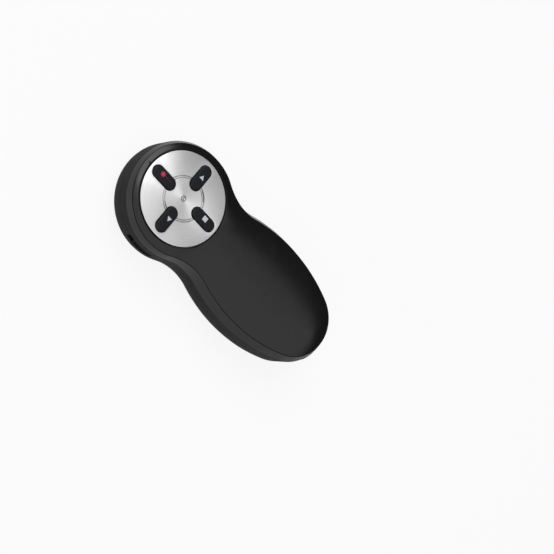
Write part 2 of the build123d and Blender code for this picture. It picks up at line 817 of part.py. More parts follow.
with BuildPart() as face_rim:
    # level rim round the face plate, where the crowned top falls away from it
    with BuildSketch(Plane.XY.offset(deck_low)):
        with Locations((0, disc_y)):
            Circle(recess_r + rim_w)
    extrude(amount=face_z - rim_sink - deck_low)
    chamfer(face_rim.edges().group_by(Axis.Z)[-1], rim_sink)

with BuildPart() as top_shell:
    # deck under the face plate, screw posts and the two ribs beside the receiver's sleeve
    with BuildSketch(Plane.XY.offset(deck_low)):
        with Locations((0, disc_y)):
            Circle(recess_r + rim_w)
    extrude(amount=wall)
    with BuildSketch(Plane.XY.offset(parting_z)):
        with Locations(head_screws + handle_screws):
            Circle(screw_r + post_wall)
    extrude(amount=tall)
    with BuildSketch(Plane.XY.offset(parting_z)):
        for side in (-1, 1):
            with Locations((side * (sleeve_half + small_gap + tray_t / 2), flank_y)):
                Rectangle(tray_t, rail_len)
    extrude(amount=tall)
    add(body_form(wall - small_gap), mode=Mode.INTERSECT)
    add(upper_skin.part)
    add(face_rim.part)
    # recess of the face plate and the ways through for the keys
    with BuildSketch(Plane.XY.offset(deck_top)):
        with Locations((0, disc_y)):
            Circle(recess_r)
    extrude(amount=tall, mode=Mode.SUBTRACT)
    for turn in key_turns.values():
        with BuildSketch(key_plane(turn, deck_low)):
            SlotOverall(key_len + 2 * key_gap, key_w + 2 * key_gap)
        extrude(amount=tall, mode=Mode.SUBTRACT)
    # status light, screw pilots and the mouth for the receiver
    with BuildSketch(Plane.XY.offset(board_top)):
        with Locations((0, disc_y + pipe_reach)):
            Circle(pipe_r + pipe_fit)
    extrude(amount=tall, mode=Mode.SUBTRACT)
    with BuildSketch(Plane.XY.offset(parting_z)):
        with Locations(head_screws + handle_screws):
            Circle(screw_r + screw_fit)
    extrude(amount=screw_seat_z + screw_len - parting_z + small_gap, mode=Mode.SUBTRACT)
    with BuildSketch(Plane((0, tail_y, parting_z), x_dir=(-1, 0, 0), z_dir=(0, 1, 0))):
        Rectangle(receiver_w + 2 * receiver_gap, receiver_h + 2 * receiver_gap,
                  align=(Align.CENTER, Align.MIN))
    extrude(amount=tail_r, mode=Mode.SUBTRACT)
top_shell.part.label = "top_shell"
export_step(top_shell.part, "parts/top_shell.step")
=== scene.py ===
from math import cos, pi, radians, sin

import bmesh
import bpy
import numpy as np
from mathutils import Matrix, Vector


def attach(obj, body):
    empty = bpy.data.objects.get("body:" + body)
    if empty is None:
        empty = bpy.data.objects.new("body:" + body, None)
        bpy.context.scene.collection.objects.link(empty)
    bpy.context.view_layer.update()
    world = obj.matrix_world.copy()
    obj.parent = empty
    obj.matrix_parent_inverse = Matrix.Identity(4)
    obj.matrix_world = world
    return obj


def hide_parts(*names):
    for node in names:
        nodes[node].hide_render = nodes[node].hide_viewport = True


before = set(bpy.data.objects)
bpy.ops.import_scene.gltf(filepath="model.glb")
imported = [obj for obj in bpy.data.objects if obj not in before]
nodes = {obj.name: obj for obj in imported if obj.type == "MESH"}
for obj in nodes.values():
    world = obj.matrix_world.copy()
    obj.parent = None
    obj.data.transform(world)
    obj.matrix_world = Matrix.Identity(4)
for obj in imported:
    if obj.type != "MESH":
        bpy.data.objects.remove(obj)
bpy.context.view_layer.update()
mm = 0.001

# ---------------------------------------------------------------- pod form
# The pod is two ABS mouldings that meet on a level parting line. Its plan is a head, a waist, a flank and
# a tail arc, all tangent, and both mouldings are loops that follow this plan at an inset and a height.
head_r, head_y = 23.4, 30.4
waist_r = 22.2
flank_half, flank_y = 22.1, -16.6
tail_r, tail_y = 18.2, -53.8
parting_z = 13.0


def arc_points(centre, start, stop, radius, count, outward):
    """Points along one arc of the plan, with the way that faces out of the pod at each."""
    a0, a1 = (np.arctan2(*(np.array(p) - centre)[::-1]) for p in (start, stop))
    turn = a0 + np.linspace(0, (a1 - a0 + pi) % (2 * pi) - pi, count, endpoint=False)
    heading = np.stack([np.cos(turn), np.sin(turn)], 1)
    return centre + radius * heading, outward * heading


def plan_outline():
    """Right half of the plan from nose to tail, then the left half back: points and outward ways."""
    reach = flank_y - tail_y - tail_r
    flank_r = (flank_half**2 + reach**2 - tail_r**2) / (2 * (flank_half - tail_r))
    tail_c, head_c = np.array([0, tail_y + tail_r]), np.array([0, head_y])
    flank_c = np.array([flank_half - flank_r, flank_y])
    span = head_c - flank_c
    length = np.linalg.norm(span)
    near, far = flank_r + waist_r, head_r + waist_r
    along = (length**2 + near**2 - far**2) / (2 * length)
    aside = (near**2 - along**2) ** 0.5
    unit = span / length
    waist_c = flank_c + unit * along + np.array([unit[1], -unit[0]]) * aside
    head_end = head_c + (waist_c - head_c) * head_r / far
    flank_end = flank_c + (waist_c - flank_c) * flank_r / near
    toward_tail = tail_c - flank_c
    tail_end = flank_c + toward_tail * flank_r / np.linalg.norm(toward_tail)
    arcs = [
        arc_points(head_c, (0, head_y + head_r), head_end, head_r, 70, 1),
        arc_points(waist_c, head_end, flank_end, waist_r, 26, -1),
        arc_points(flank_c, flank_end, tail_end, flank_r, 46, 1),
        arc_points(tail_c, tail_end, (0, tail_y), tail_r, 34, 1),
    ]
    points = np.concatenate([a[0] for a in arcs] + [[(0.0, tail_y)]])
    ways = np.concatenate([a[1] for a in arcs] + [[(0.0, -1.0)]])
    return [np.concatenate([half, (half * (-1, 1))[-2:0:-1]]) for half in (points, ways)]


plan, way = plan_outline()
half_count = len(plan) // 2
side = np.arange(len(plan))
side = np.minimum(side, len(plan) - side)
stretch = np.linalg.norm(np.diff(plan[: half_count + 1], axis=0), axis=1)
travel = np.concatenate([[0], np.cumsum(stretch)])
travel = (travel / travel[-1])[side]


def ring(inset, height):
    """One loop round the pod at an inset from the plan and a height, either of which may vary."""
    inset, height = np.broadcast_to(inset, len(plan)), np.broadcast_to(height, len(plan))
    return np.column_stack([plan - way * inset[:, None], height])


def seam_edge(up):
    """Loops of a moulding's small rounded edge at the parting line. up is 1 above it and -1 below."""
    return [ring(0.2, parting_z), ring(0.05, parting_z + up * 0.07), ring(0, parting_z + up * 0.22)]


def solid(name, vertices, faces):
    """A mesh object from points in millimetres, with doubles merged and faces turned outwards."""
    mesh = bpy.data.meshes.new(name)
    places = [tuple(v) for v in np.asarray(vertices, float) * mm]
    mesh.from_pydata(places, [], [tuple(map(int, f)) for f in faces])
    shape = bmesh.new()
    shape.from_mesh(mesh)
    bmesh.ops.remove_doubles(shape, verts=shape.verts, dist=1e-7)
    bmesh.ops.dissolve_degenerate(shape, edges=shape.edges, dist=1e-7)
    bmesh.ops.delete(shape, geom=[e for e in shape.edges if not e.link_faces], context="EDGES")
    bmesh.ops.recalc_face_normals(shape, faces=shape.faces)
    shape.to_mesh(mesh)
    shape.free()
    piece = bpy.data.objects.new(name, mesh)
    bpy.context.scene.collection.objects.link(piece)
    return piece


def skin(name, loops, strip_samples=None, closed=True):
    """A mesh over a run of loops. strip_samples maps a strip's number to the samples that have faces."""
    count = len(plan)
    faces = []
    for i in range(len(loops) if closed else len(loops) - 1):
        a, b = i * count, (i + 1) % len(loops) * count
        keep = (strip_samples or {}).get(i)
        for k in range(count):
            n = (k + 1) % count
            if keep is None or (keep[k] and keep[n]):
                faces.append((a + k, a + n, b + n, b + k))
    return solid(name, np.concatenate(loops), faces)


# ---------------------------------------------------------------- top cover
# Upper moulding, with a soft-touch lacquer: a crowned handle that runs into the ring round the face plate.
# A crease parts the top from the sloping shoulder. It is clipped and screwed to the belly from below.
wall = 1.8
face_z = 21.0
disc_y, recess_r = 31.6, 19.1
deck_low, deck_top = 18.45, 19.85
ring_z = 20.86
spine_r, spine_end_y = 860.0, -42.0
shoulder_in, nose_in, handle_in = 1.35, 1.0, 2.2
head_shoulder, handle_shoulder = 2.75, 4.5
head_drop, handle_drop = 1.1, 1.5
head_crown, handle_crown = 1.2, 2.4

# inner ends of the top's loops: round the recess as far as the waist, then on the handle's ridge
circle_end_y = 2.5
circle_last = int(np.argmin(abs(plan[: half_count + 1, 1] - circle_end_y)))
on_circle = side <= circle_last
share = np.where(on_circle, travel / travel[circle_last], 1)
lean = pi / 2 - pi * share
right_left = np.where(np.arange(len(plan)) <= half_count, 1, -1)
past = np.sin(np.clip((travel - travel[circle_last]) / (1 - travel[circle_last]), 0, 1) * pi / 2)
recess_foot_y = disc_y - recess_r
inner = np.where(
    on_circle[:, None],
    np.column_stack([recess_r * np.cos(lean) * right_left, disc_y + recess_r * np.sin(lean)]),
    np.column_stack([np.zeros(len(plan)), recess_foot_y + (spine_end_y - recess_foot_y) * past]),
)
inner[np.isclose(share, 1) & on_circle, 0] = 0


def spine(y):
    """Height of the crown's ridge line."""
    return face_z + (y - disc_y) ** 2 / (2 * spine_r)


def back_share(start_y, length):
    """A smooth rise from 0 to 1 toward the tail, from a place on the plan over a length."""
    t = np.clip((start_y - plan[:, 1]) / length, 0, 1)
    return t * t * (3 - 2 * t)


nose_share = np.clip(way[:, 1], 0, 1) ** 2 * (plan[:, 1] > head_y)
waist_share, handle_share = back_share(22, 18), back_share(20, 18)
shoulder_drop = head_shoulder + (handle_shoulder - head_shoulder) * waist_share
crease_in = shoulder_in + (nose_in - shoulder_in) * nose_share + (handle_in - shoulder_in) * waist_share
crease_plan = plan - way * crease_in[:, None]
crown_power = head_crown + (handle_crown - head_crown) * handle_share
edge_drop = head_drop + (handle_drop - head_drop) * handle_share
across = np.linalg.norm(crease_plan - inner, axis=1)
ring_lower = np.where(on_circle, spine(inner[:, 1]) - ring_z, 0)
ring_lower *= 0.4 * np.clip((circle_last - side) / 14, 0, 1)


def top_loop(f):
    """Loop on the top surface, from the crease (f = 0) to the recess or the ridge (f = 1)."""
    f = np.broadcast_to(f, len(plan))
    spot = crease_plan + (inner - crease_plan) * f[:, None]
    height = spine(spot[:, 1]) - edge_drop * (1 - f) ** crown_power - ring_lower * f**2
    return np.column_stack([spot, height])


def bend(before, corner, after, steps):
    """Loops that round the corner between two loops."""
    parts = []
    for t in np.linspace(0, 1, steps):
        parts.append(before * (1 - t) ** 2 + corner * 2 * t * (1 - t) + after * t**2)
    return parts


def toward(start, end, distance):
    """The loop that lies a distance along the way from one loop to the next."""
    span = end - start
    return start + span * (distance / np.maximum(np.linalg.norm(span, axis=1), 1e-9))[:, None]


# outside, from the parting line up: wall, shoulder, the fine groove along the crease, and the crown
crease = top_loop(0)
crease_z = crease[:, 2]
shoulder_foot = ring(0, crease_z - shoulder_drop)
foot_round, crease_flat = 0.8, 0.55
upper_wall = ring(0, crease_z - shoulder_drop - foot_round)
past_in = crease_flat / across
past_crease = top_loop(past_in)
outside = seam_edge(1)
seam_top = outside[-1]
outside += [seam_top + (upper_wall - seam_top) * t for t in (0.25, 0.5, 0.75)]
outside += bend(upper_wall, shoulder_foot, toward(shoulder_foot, crease, foot_round), 5)
outside += [shoulder_foot + (crease - shoulder_foot) * t for t in (0.35, 0.5, 0.65)]
groove_half, groove_lip = 0.17, 0.23
crease_outer = toward(crease, shoulder_foot, groove_half)
crease_inner = toward(crease, past_crease, groove_half)
groove_share = np.clip((0.93 - nose_share) / 0.25, 0, 1)
deeper = np.column_stack([way * 0.68, np.full(len(plan), 0.73)]) * (0.45 * groove_share[:, None] + 0.01)
outside += [toward(crease, shoulder_foot, 0.6), toward(crease, shoulder_foot, groove_lip)]
outside += [crease_outer, crease_outer - deeper, crease_inner - deeper, crease_inner]
outside += [toward(crease, past_crease, groove_lip), past_crease]
rim_round, fade_samples = 0.22, 8
lip = np.where(on_circle, rim_round * np.clip((circle_last - side) / fade_samples, 0, 1), 0)
crown_end = 1 - lip / across
for t in (0.04, 0.09, 0.16, 0.24, 0.33, 0.43, 0.53, 0.63, 0.73, 0.82, 0.9, 0.96):
    outside.append(top_loop(past_in + (crown_end - past_in) * t))

# the rim and wall of the recess, then the inside: ceiling and inner wall back to the parting line
top_end = top_loop(crown_end)
rim_edge = np.column_stack([inner, top_loop(1.0)[:, 2]])
rim_wall = rim_edge - np.column_stack([np.zeros((len(plan), 2)), lip])
top_last = len(outside)
outside += bend(top_end, rim_edge, rim_wall, 4)
outside += [np.column_stack([inner, np.where(on_circle, z, rim_edge[:, 2])]) for z in (deck_top, deck_low)]
ceiling_first = len(outside)
ceiling_in = np.column_stack([inner, np.where(on_circle, deck_low, rim_edge[:, 2] - wall)])
ceiling_out = np.column_stack([crease_plan - way * (wall - 0.4), crease_z - wall])
ceiling_steps = (0.0, 0.2, 0.4, 0.6, 0.8, 1.0)
outside += [ceiling_in + (ceiling_out - ceiling_in) * t for t in ceiling_steps]
for n, t in list(enumerate(ceiling_steps))[1:-1]:
    loop = outside[ceiling_first + n]
    level = top_loop(1 - t)[:, 2] - wall
    loop[:, 2] = np.where(on_circle, np.minimum(loop[:, 2], level), level)
outside += [ring(wall, crease_z - wall - shoulder_drop), ring(wall, parting_z)]
top_cover = skin("top_cover", outside, {n: on_circle for n in range(top_last, ceiling_first)})


def block(x, y, z):
    """Points and faces of a straight block between the given limits."""
    points = [(i, j, k) for k in z for j in y for i in x]
    return points, [(0, 2, 3, 1), (4, 5, 7, 6), (0, 1, 5, 4), (2, 6, 7, 3), (0, 4, 6, 2), (1, 3, 7, 5)]


def turned(profile, centre=(0, 0, 0), axis="Z", count=96):
    """Points and faces of a (radius, height) profile turned about an axis, on which both its ends lie."""
    points, faces, rows = [], [], []
    for r, h in profile:
        start = len(points)
        turns = [0] if r == 0 else [2 * pi * k / count for k in range(count)]
        for a in turns:
            place = (r * cos(a), r * sin(a), h)
            if axis == "Y":
                place = (r * cos(a), h, -r * sin(a))
            points.append(tuple(Vector(place) + Vector(centre)))
        rows.append(range(start, len(points)))
    for low, high in zip(rows, rows[1:]):
        for k in range(count):
            n = (k + 1) % count
            corners = [low[k % len(low)], low[n % len(low)], high[n % len(high)], high[k % len(high)]]
            faces.append(list(dict.fromkeys(corners)))
    return points, faces


def pill(centre, angle, levels, length, width, steps=20):
    """Points and faces of an upright pill. levels holds (height, how far the outline grows) pairs."""
    points, faces = [], []
    half = (length - width) / 2
    turn = Matrix.Rotation(radians(angle), 3, "Z")
    for height, grow in levels:
        for end in (1, -1):
            for k in range(steps + 1):
                a = -pi / 2 + pi * k / steps
                r = width / 2 + grow
                place = Vector((end * (half + r * cos(a)), end * r * sin(a), height))
                points.append(tuple(turn @ place + Vector((*centre, 0))))
    count = 2 * (steps + 1)
    for i in range(len(levels) - 1):
        for k in range(count):
            n = (k + 1) % count
            faces.append((i * count + k, i * count + n, (i + 1) * count + n, (i + 1) * count + k))
    faces.append(list(range(count))[::-1])
    faces.append(list(range((len(levels) - 1) * count, len(levels) * count)))
    return points, faces


def settle(piece):
    """Makes a piece's modifiers part of its mesh."""
    shaped = bpy.data.meshes.new_from_object(piece.evaluated_get(bpy.context.evaluated_depsgraph_get()))
    piece.modifiers.clear()
    old, piece.data = piece.data, shaped
    bpy.data.meshes.remove(old)
    shaped.name = piece.name


def join(piece, other, operation="UNION"):
    """Joins another piece onto a piece, or cuts it away, and clears the other one."""
    step = piece.modifiers.new("carve", "BOOLEAN")
    step.operation, step.object, step.solver = operation, other, "EXACT"
    settle(piece)
    bpy.data.meshes.remove(other.data)


def carve(piece, form, operation="DIFFERENCE"):
    """Cuts a form out of a piece, or joins it on."""
    join(piece, solid("tool", *form), operation)


# deck under the face plate, with a pill-shaped way through for each key
key_len, key_w, key_gap = 11.3, 4.9, 0.3
keys = {"laser": (90, 11.4), "next": (0, 11.0), "previous": (180, 11.0), "blank": (270, 11.4)}
key_place = {k: (r * cos(radians(a)), disc_y + r * sin(radians(a))) for k, (a, r) in keys.items()}
deck_r = recess_r + 0.35
deck_profile = [(0, deck_low), (deck_r, deck_low), (deck_r, deck_top), (0, deck_top)]
deck = solid("deck", *turned(deck_profile, (0, disc_y, 0)))
for key, (angle, reach) in keys.items():
    through = [(deck_low - 1, key_gap), (deck_top + 1, key_gap)]
    carve(deck, pill(key_place[key], angle, through, key_len, key_w))
join(top_cover, deck)

# mouth for the receiver in the tail, and the hole of the status light
mouth_half, mouth_top, mouth_len = 9.3, 19.3, 12
mouth = block((-mouth_half, mouth_half), (tail_y - 2, tail_y + mouth_len), (parting_z - 1, mouth_top))
carve(top_cover, mouth)
light_y, light_r, light_z = disc_y + 19.65, 0.4, (14, 24)
light_hole = [(0, light_z[0]), (light_r, light_z[0]), (light_r, light_z[1]), (0, light_z[1])]
carve(top_cover, turned(light_hole, (0, light_y, 0), count=32))


def shader(name):
    """A new material: the material, its node tree and its Principled shader."""
    material = bpy.data.materials.new(name)
    material.use_nodes = True
    return material, material.node_tree, material.node_tree.nodes["Principled BSDF"]


def add_node(tree, kind, inputs=None, **settings):
    """A node with its settings, constant inputs and links made."""
    made = tree.nodes.new(kind)
    for key, value in settings.items():
        setattr(made, key, value)
    for key, value in (inputs or {}).items():
        if isinstance(value, bpy.types.NodeSocket):
            tree.links.new(value, made.inputs[key])
        else:
            made.inputs[key].default_value = value
    return made


def maths(tree, operation, *values):
    """The result of a Math node on numbers or sockets."""
    return add_node(tree, "ShaderNodeMath", dict(enumerate(values)), operation=operation).outputs[0]


def vector_maths(tree, operation, value, other):
    """The result of a Vector Math node on a vector and another, or on a vector and a factor."""
    inputs = {0: value, "Scale" if operation == "SCALE" else 1: other}
    return add_node(tree, "ShaderNodeVectorMath", inputs, operation=operation).outputs["Vector"]


def ramp(tree, value, start, stop, low=0.0, high=1.0):
    """A socket that goes from low to high while a value goes from start to stop."""
    limits = {"Value": value, "From Min": start, "From Max": stop, "To Min": low, "To Max": high}
    return add_node(tree, "ShaderNodeMapRange", limits).outputs["Result"]


def noise(tree, place, scale, detail, roughness=0.5):
    """The value of a noise texture."""
    inputs = {"Vector": place, "Scale": scale, "Detail": detail, "Roughness": roughness}
    return add_node(tree, "ShaderNodeTexNoise", inputs).outputs["Fac"]


def blend(tree, factor, low, high):
    """A colour between two colours."""
    return add_node(tree, "ShaderNodeMix", {"Factor": factor, 6: low, 7: high}, data_type="RGBA").outputs[2]


def new_group(name, inputs, outputs):
    """A shader node group with named sockets: its tree, its inputs' sockets and its output node."""
    group = bpy.data.node_groups.new(name, "ShaderNodeTree")
    for label, kind, value in inputs:
        socket = group.interface.new_socket(label, in_out="INPUT", socket_type=kind)
        if value is not None:
            socket.default_value = value
    for label, kind in outputs:
        group.interface.new_socket(label, in_out="OUTPUT", socket_type=kind)
    return group, group.nodes.new("NodeGroupInput").outputs, group.nodes.new("NodeGroupOutput")


# moulded surface: broad mottling of the colour, fine grain, and faint handling marks in the gloss
FLOAT, COLOUR, VECTOR = "NodeSocketFloat", "NodeSocketColor", "NodeSocketVector"
moulded, given, made = new_group(
    "moulded_surface",
    [
        ("Position", VECTOR, None),
        ("Colour", COLOUR, (0.02, 0.02, 0.02, 1)),
        ("Mottle", FLOAT, 0.15),
        ("Grain Scale", FLOAT, 3000),
        ("Roughness", FLOAT, 0.5),
        ("Marks", FLOAT, 0.08),
    ],
    [("Colour", COLOUR), ("Roughness", FLOAT), ("Height", FLOAT)],
)
cloud = ramp(moulded, noise(moulded, given["Position"], 90, 3), 0.3, 0.7)
swing = maths(moulded, "MULTIPLY", maths(moulded, "SUBTRACT", cloud, 0.5), given["Mottle"])
tint = vector_maths(moulded, "SCALE", given["Colour"], maths(moulded, "ADD", swing, 1))
rub = ramp(moulded, noise(moulded, given["Position"], 260, 5, 0.7), 0.35, 0.75, -0.5, 0.5)
gloss = maths(moulded, "ADD", given["Roughness"], maths(moulded, "MULTIPLY", rub, given["Marks"]))
moulded.links.new(tint, made.inputs["Colour"])
moulded.links.new(gloss, made.inputs["Roughness"])
moulded.links.new(noise(moulded, given["Position"], given["Grain Scale"], 2), made.inputs["Height"])


def plastic(name, colour, roughness, grain_scale=3000, grain_depth=0.01, mottle=0.15, marks=0.08, **finish):
    """A moulded plastic. grain_depth is in millimetres. finish may give coat, specular, and dry_walls: how
    much duller its walls are than its top."""
    material, tree, principled = shader(name)
    place = add_node(tree, "ShaderNodeTexCoord").outputs["Object"]
    values = {"Position": place, "Colour": (*colour, 1), "Mottle": mottle, "Grain Scale": grain_scale}
    values |= {"Roughness": roughness, "Marks": marks}
    surface = add_node(tree, "ShaderNodeGroup", values, node_tree=moulded).outputs
    height = {"Height": surface["Height"], "Distance": grain_depth * mm, "Strength": 1}
    bump = add_node(tree, "ShaderNodeBump", height)
    tree.links.new(surface["Colour"], principled.inputs["Base Color"])
    tree.links.new(surface["Roughness"], principled.inputs["Roughness"])
    tree.links.new(bump.outputs["Normal"], principled.inputs["Normal"])
    principled.inputs["Coat Weight"].default_value = finish.get("coat", 0.0)
    principled.inputs["Specular IOR Level"].default_value = finish.get("specular", 0.5)
    if "dry_walls" in finish:
        normal = add_node(tree, "ShaderNodeNewGeometry").outputs["True Normal"]
        upright = add_node(tree, "ShaderNodeSeparateXYZ", {"Vector": normal}).outputs["Z"]
        spot_y = add_node(tree, "ShaderNodeSeparateXYZ", {"Vector": place}).outputs["Y"]
        limit = ramp(tree, spot_y, 30 * mm, -26 * mm, 0.3, 0.68)
        dry = ramp(tree, upright, 0.1, limit, finish["dry_walls"], 0)
        total = maths(tree, "ADD", surface["Roughness"], dry)
        tree.links.new(total, principled.inputs["Roughness"])
    return material


def finish_piece(piece, body, material, replaced=()):
    """Smooths a piece but for its sharp edges, and gives it its material, body and the nodes it stands for."""
    piece.data.shade_smooth()
    piece.data.set_sharp_from_angle(angle=radians(32))
    piece.data.materials.clear()
    piece.data.materials.append(material)
    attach(piece, body)
    if replaced:
        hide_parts(*replaced)


lacquer = dict(grain_scale=5200, grain_depth=0.004, dry_walls=0.72)
soft_touch = plastic("soft_touch_lacquer", (0.0045, 0.0043, 0.0042), 0.25, **lacquer)
finish_piece(top_cover, "pod", soft_touch, ["top_shell"])

# ---------------------------------------------------------------- belly
# Lower moulding of bare ABS with a fine spark-eroded grain. It has the slide switch's slot, the laser's bore,
# counterbored screw holes and the open battery bay, whose tray walls and cover plate are moulded with it.
belly_r = 9.0
flat_end_y = 40.0


def bowl(name, thickness):
    """The belly's wall from the parting line down, closed inside and out."""
    inner_r = belly_r - thickness
    loops = [*seam_edge(-1), ring(0, (parting_z + belly_r) / 2)]
    arc = np.radians(np.linspace(0, 90, 13))
    loops += [ring(belly_r * (1 - cos(a)), belly_r * (1 - sin(a))) for a in arc]
    foot = ring(belly_r, 0.0)
    ridge_y = flat_end_y + (spine_end_y - flat_end_y) * travel
    ridge = np.column_stack([np.zeros(len(plan)), ridge_y, np.zeros(len(plan))])
    loops += [foot + (ridge - foot) * t for t in (0.25, 0.5, 0.75, 1.0)]
    turn = len(loops) - 1
    lift = np.array([0, 0, thickness])
    loops += [foot + lift + (ridge - foot) * t for t in (1.0, 0.5)]
    loops += [ring(belly_r - inner_r * cos(a), belly_r - inner_r * sin(a)) for a in arc[::-2]]
    loops += [ring(thickness, parting_z)]
    return skin(name, loops, {turn: np.zeros(len(plan), bool)})


belly = bowl("belly", wall)
door_half, door_front_y, door_rim_z, door_gap = 13.5, 4.7, 8.0, 0.2
opening = door_half + door_gap
past_tail_y = -70
carve(belly, block((-opening, opening), (past_tail_y, door_front_y + door_gap), (-5, door_rim_z + door_gap)))

# tray walls round the cells
bay_rear_y, bay_front_y = -45.4, 3.9
tray_half, tray_t, tray_low = 12.1, 1.0, 2.2
plate_t = 0.9
tray_z = (tray_low, parting_z - plate_t / 2)
for x in (-tray_half, tray_half - tray_t):
    carve(belly, block((x, x + tray_t), (bay_rear_y - tray_t, bay_front_y + tray_t), tray_z), "UNION")
for y in (bay_rear_y - tray_t, bay_front_y):
    carve(belly, block((-tray_half, tray_half), (y, y + tray_t), tray_z), "UNION")


def capped(name, loops):
    """A solid between two end loops, filled flat at both ends."""
    piece = skin(name, loops, closed=False)
    shape = bmesh.new()
    shape.from_mesh(piece.data)
    bmesh.ops.holes_fill(shape, edges=shape.edges)
    bmesh.ops.recalc_face_normals(shape, faces=shape.faces)
    shape.to_mesh(piece.data)
    shape.free()
    return piece


# the plate over the cells stops at the forward tray wall, and reaches the shell's own wall on both sides
cover_plate = capped("cover_plate", [ring(wall - 0.3, parting_z - plate_t), ring(wall - 0.3, parting_z)])
carve(cover_plate, block((-30, 30), (past_tail_y, bay_front_y + tray_t), (0, 30)), "INTERSECT")
join(belly, cover_plate)

# screw posts, trimmed to stay within the rounded wall, and the laser's two cradles
screw_seat_z, screw_r, screw_head_r, post_wall = 4.6, 1.0, 1.7, 1.4
case_screws = [(x, disc_y + 12.0) for x in (-12.0, 12.0)] + [(x, flank_y) for x in (-17.0, 17.0)]
board_screws = [(x, disc_y - 12.0) for x in (-12.0, 12.0)]
board_low = 11.4
post_r, post_foot_z, core_r = screw_r + post_wall, 0.1, belly_r - 0.5
for x, y in case_screws + board_screws:
    top_z = parting_z - 0.02 if y == flank_y else board_low
    profile = [(0, post_foot_z), (post_r, post_foot_z), (post_r, top_z), (0, top_z)]
    post = solid("post", *turned(profile, (x, y, 0), count=40))
    arc = np.radians(np.linspace(0, 90, 13))
    core = [ring(belly_r - core_r * sin(a), belly_r - core_r * cos(a)) for a in arc]
    join(post, capped("core", core + [ring(belly_r - core_r, parting_z)]), "INTERSECT")
    join(belly, post)
laser_z, barrel_r = 7.6, 3.2
cradle_half, cradle_t, cradle_low = 5, 1.6, 1.5
for y in (38.0, 46.0):
    cradle = block((-cradle_half, cradle_half), (y - cradle_t / 2, y + cradle_t / 2), (cradle_low, laser_z))
    carve(belly, cradle, "UNION")

# bores: the barrel's bed, the screws' counterbores and pilots, and the beam's way out to the window's seat
bed_r, bed_rear, bed_front = barrel_r + 0.05, 34, 50
bed = [(0, bed_rear), (bed_r, bed_rear), (bed_r, bed_front), (0, bed_front)]
carve(belly, turned(bed, (0, 0, laser_z), "Y"))
bore_r, shank_r = screw_head_r + 0.1, 1.2
counterbore = [(0, -1), (bore_r, -1), (bore_r, screw_seat_z), (shank_r, screw_seat_z), (shank_r, 14), (0, 14)]
for x, y in case_screws:
    carve(belly, turned(counterbore, (x, y, 0), count=40))
pilot_r, pilot_low = 1.03, 6.4
for x, y in board_screws:
    pilot = [(0, pilot_low), (pilot_r, pilot_low), (pilot_r, 14), (0, 14)]
    carve(belly, turned(pilot, (x, y, 0), count=32))
beam_r, window_r, window_y = 1.4, 2.05, 52.4
beam = [(0, 40), (beam_r, 40), (beam_r, window_y), (window_r, window_y), (window_r, 56), (0, 56)]
carve(belly, turned(beam, (0, 0, laser_z), "Y", count=48))

# slot of the slide switch, open at the parting line
slot_y, slot_len, slot_h = 29.8, 12.4, 3.2
slot_ends = (slot_y - slot_len / 2, slot_y + slot_len / 2)
carve(belly, block((-26, -20.1), slot_ends, (parting_z - slot_h, parting_z + 1)))
grained = dict(grain_scale=2600, grain_depth=0.014, specular=0.24, dry_walls=0.2)
bare_black = plastic("grained_black_abs", (0.012, 0.0115, 0.011), 0.62, **grained)
finish_piece(belly, "pod", bare_black, ["bottom_shell"])

# ---------------------------------------------------------------- battery door
# Sliding hatch of the same ABS, cut from the same rounded form: moulded thumb grooves, and a hooked rail
# down each side that runs under the tray. It slides towards the tail and lifts off.
door_t = 1.2
rail_t, rail_y, rail_z = 0.9, (-16.5, -6.5), (0.6, 3.4)
hook_out, hook_z = 0.7, (2.6, 3.4)
grip_count, grip_pitch, grip_len, grip_w = 4, 1.8, 12.0, 0.8
door = bowl("door", door_t)
carve(door, block((-door_half, door_half), (past_tail_y, door_front_y), (-5, door_rim_z)), "INTERSECT")
for way_x in (-1, 1):
    root = way_x * (door_half - rail_t)
    carve(door, block(sorted((root, way_x * door_half)), rail_y, rail_z), "UNION")
    carve(door, block(sorted((root, way_x * (door_half + hook_out))), rail_y, hook_z), "UNION")
grip_levels = [(-1, 0.15), (0.02, 0.15), (0.12, 0), (0.4, -0.1)]
for n in range(grip_count):
    y = door_front_y - (n + 2) * grip_pitch
    carve(door, pill((0, y), 0, grip_levels, grip_len, grip_w, 8))
finish_piece(door, "door", bare_black, ["battery_door"])

# ---------------------------------------------------------------- face plate
# Spun aluminium disc, 1 mm thick, held down by adhesive film. It is turned on a lathe, which leaves fine
# rings, a shallow groove round the keys and a small centre mark, and then pierced for the four keys.
disc_r, disc_low = 18.5, 20.0
groove_in, groove_out, groove_deep, groove_slope = 8.15, 8.9, 0.16, 0.14
groove_z, mark_z = face_z - groove_deep, face_z - 0.15
lathe = [(0, disc_low), (disc_r, disc_low), (disc_r, face_z - 0.16), (disc_r - 0.04, face_z - 0.05)]
lathe += [(disc_r - 0.15, face_z), (groove_out, face_z), (groove_out - groove_slope, groove_z)]
lathe += [(groove_in + groove_slope, groove_z), (groove_in, face_z)]
lathe += [(1.2, face_z), (1.08, mark_z), (0.88, mark_z), (0.76, face_z), (0.42, face_z)]
lathe += [(0.3, face_z - 0.14), (0, face_z - 0.28)]
face_plate = solid("face_plate", *turned(lathe, (0, disc_y, 0), count=256))
for key, (angle, reach) in keys.items():
    flare = [(disc_low - 1, key_gap), (face_z - 0.06, key_gap), (face_z + 0.1, key_gap + 0.15)]
    carve(face_plate, pill(key_place[key], angle, flare, key_len, key_w, 24))

